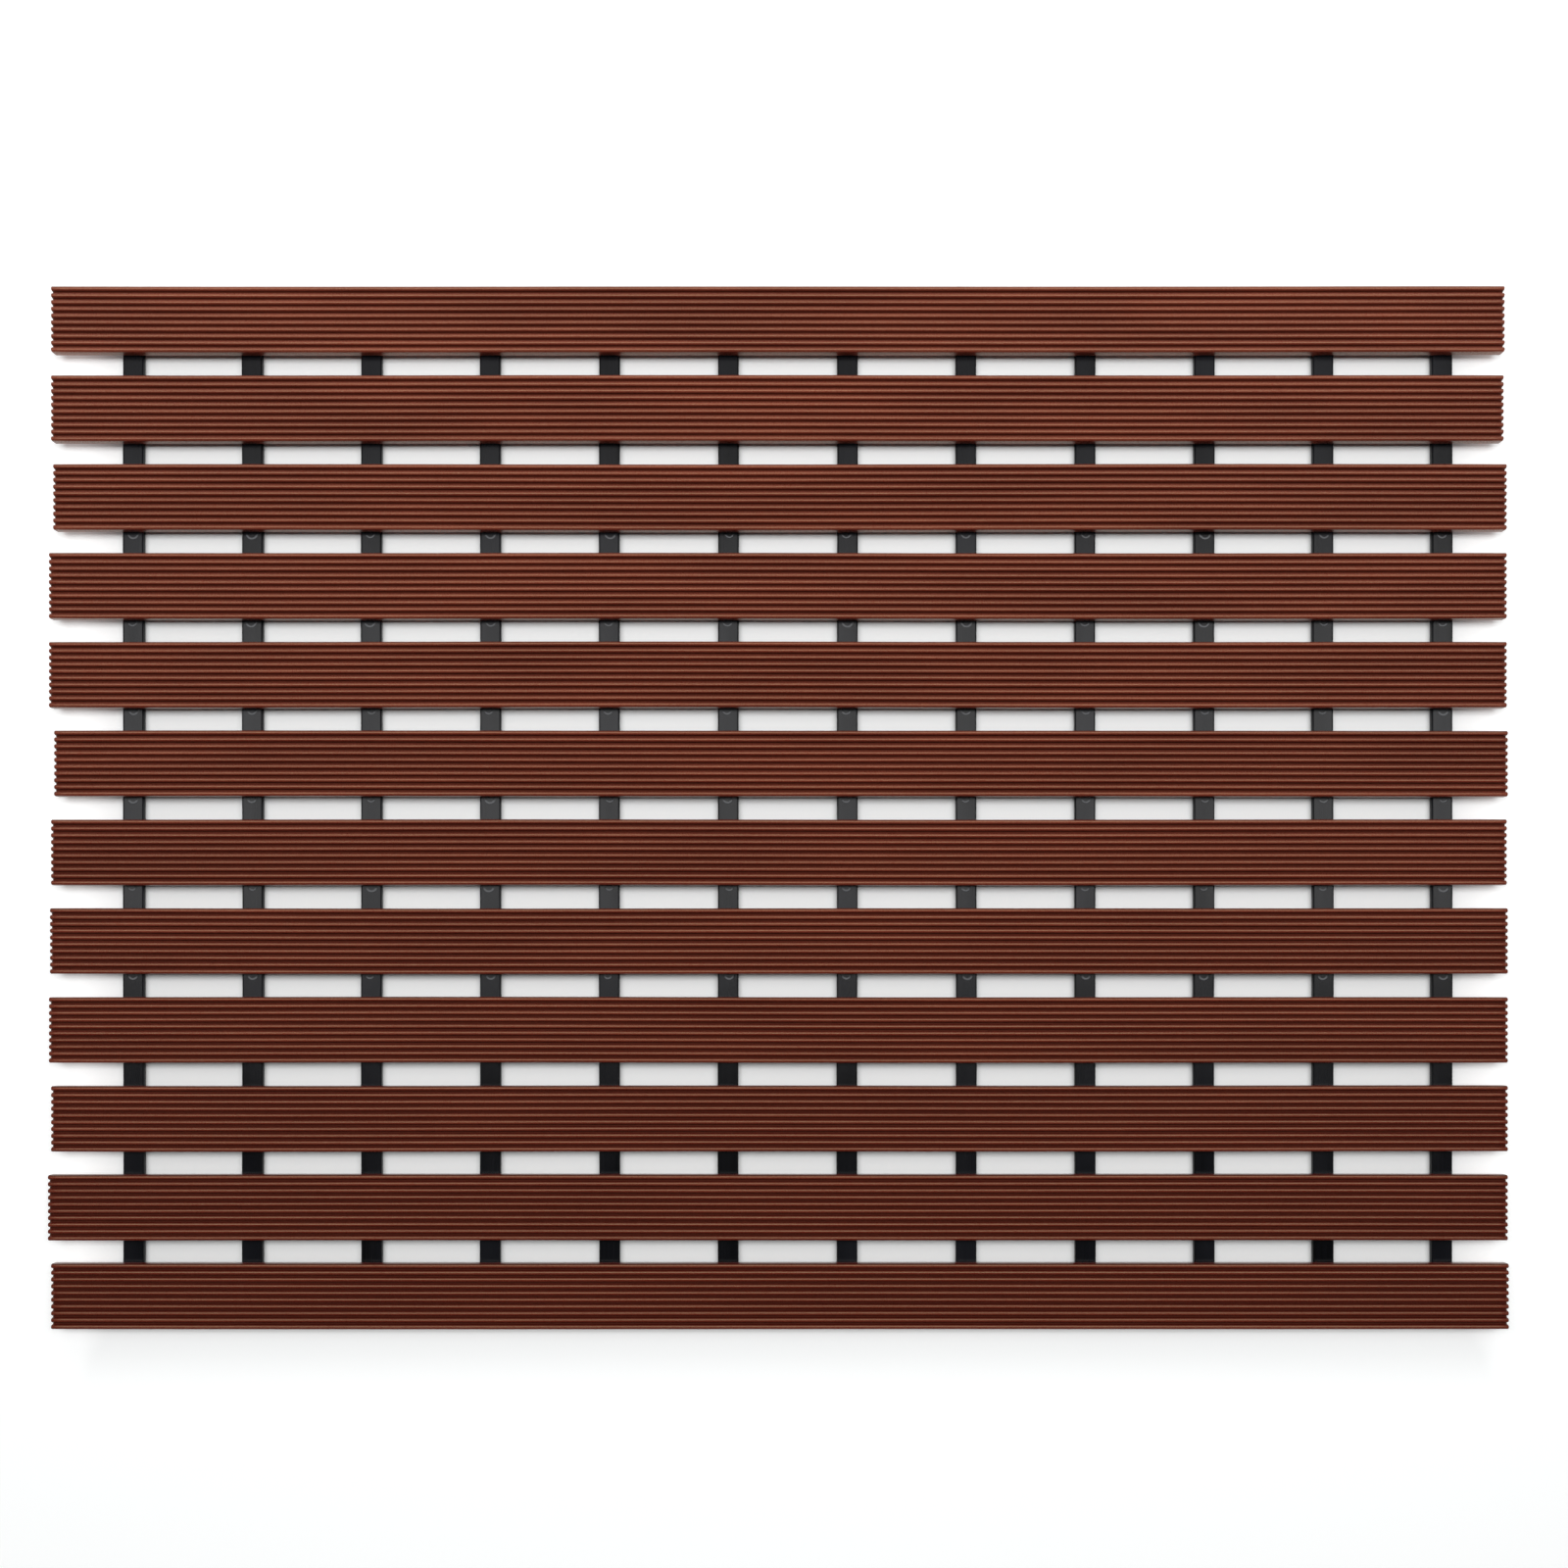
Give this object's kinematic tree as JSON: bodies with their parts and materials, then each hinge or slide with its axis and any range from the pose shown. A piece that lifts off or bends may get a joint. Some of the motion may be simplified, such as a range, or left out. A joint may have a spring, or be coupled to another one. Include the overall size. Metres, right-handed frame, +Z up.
{
  "type": "bath mat",
  "caption": "Roll-up duckboard bath mat: ribbed plastic slats side by side on soft cross straps, which bend in the gaps so it rolls up and drains.",
  "frame": {"origin": "on the floor, under the middle of the mat's outline", "axes": "+X along the slats, +Y across the slats towards row 1, +Z up"},
  "size_m": [0.7, 0.5, 0.0088],
  "materials": {
    "slat_pvc": "satin brown PVC, extruded, with lengthwise ribs",
    "strap_pvc": "satin black flexible PVC"
  },
  "bodies": {
    "row_01": {"slat_01": "slat_pvc", "strap_row_01": "strap_pvc"},
    "row_02": {"slat_02": "slat_pvc", "strap_row_02": "strap_pvc"},
    "row_03": {"slat_03": "slat_pvc", "strap_row_03": "strap_pvc"},
    "row_04": {"slat_04": "slat_pvc", "strap_row_04": "strap_pvc"},
    "row_05": {"slat_05": "slat_pvc", "strap_row_05": "strap_pvc"},
    "row_06": {"slat_06": "slat_pvc", "strap_row_06": "strap_pvc"},
    "row_07": {"slat_07": "slat_pvc", "strap_row_07": "strap_pvc"},
    "row_08": {"slat_08": "slat_pvc", "strap_row_08": "strap_pvc"},
    "row_09": {"slat_09": "slat_pvc", "strap_row_09": "strap_pvc"},
    "row_10": {"slat_10": "slat_pvc", "strap_row_10": "strap_pvc"},
    "row_11": {"slat_11": "slat_pvc", "strap_row_11": "strap_pvc"},
    "row_12": {"slat_12": "slat_pvc", "strap_row_12": "strap_pvc"}
  },
  "joints": [
    {"name": "bend_01_02", "type": "hinge", "parent": "row_02", "child": "row_01", "pos_m": [0, 0.21296, 0.00175], "axis": [1, 0, 0], "range_deg": [-30, 30], "stiffness_Nm_per_rad": 0.3},
    {"name": "bend_02_03", "type": "hinge", "parent": "row_03", "child": "row_02", "pos_m": [0, 0.17036, 0.00175], "axis": [1, 0, 0], "range_deg": [-30, 30], "stiffness_Nm_per_rad": 0.3},
    {"name": "bend_03_04", "type": "hinge", "parent": "row_04", "child": "row_03", "pos_m": [0, 0.12777, 0.00175], "axis": [1, 0, 0], "range_deg": [-30, 30], "stiffness_Nm_per_rad": 0.3},
    {"name": "bend_04_05", "type": "hinge", "parent": "row_05", "child": "row_04", "pos_m": [0, 0.08518, 0.00175], "axis": [1, 0, 0], "range_deg": [-30, 30], "stiffness_Nm_per_rad": 0.3},
    {"name": "bend_05_06", "type": "hinge", "parent": "row_06", "child": "row_05", "pos_m": [0, 0.04259, 0.00175], "axis": [1, 0, 0], "range_deg": [-30, 30], "stiffness_Nm_per_rad": 0.3},
    {"name": "bend_06_07", "type": "hinge", "parent": "row_06", "child": "row_07", "pos_m": [0, 0, 0.00175], "axis": [-1, 0, 0], "range_deg": [-30, 30], "stiffness_Nm_per_rad": 0.3},
    {"name": "bend_07_08", "type": "hinge", "parent": "row_07", "child": "row_08", "pos_m": [0, -0.04259, 0.00175], "axis": [-1, 0, 0], "range_deg": [-30, 30], "stiffness_Nm_per_rad": 0.3},
    {"name": "bend_08_09", "type": "hinge", "parent": "row_08", "child": "row_09", "pos_m": [0, -0.08518, 0.00175], "axis": [-1, 0, 0], "range_deg": [-30, 30], "stiffness_Nm_per_rad": 0.3},
    {"name": "bend_09_10", "type": "hinge", "parent": "row_09", "child": "row_10", "pos_m": [0, -0.12777, 0.00175], "axis": [-1, 0, 0], "range_deg": [-30, 30], "stiffness_Nm_per_rad": 0.3},
    {"name": "bend_10_11", "type": "hinge", "parent": "row_10", "child": "row_11", "pos_m": [0, -0.17036, 0.00175], "axis": [-1, 0, 0], "range_deg": [-30, 30], "stiffness_Nm_per_rad": 0.3},
    {"name": "bend_11_12", "type": "hinge", "parent": "row_11", "child": "row_12", "pos_m": [0, -0.21296, 0.00175], "axis": [-1, 0, 0], "range_deg": [-30, 30], "stiffness_Nm_per_rad": 0.3}
  ]
}
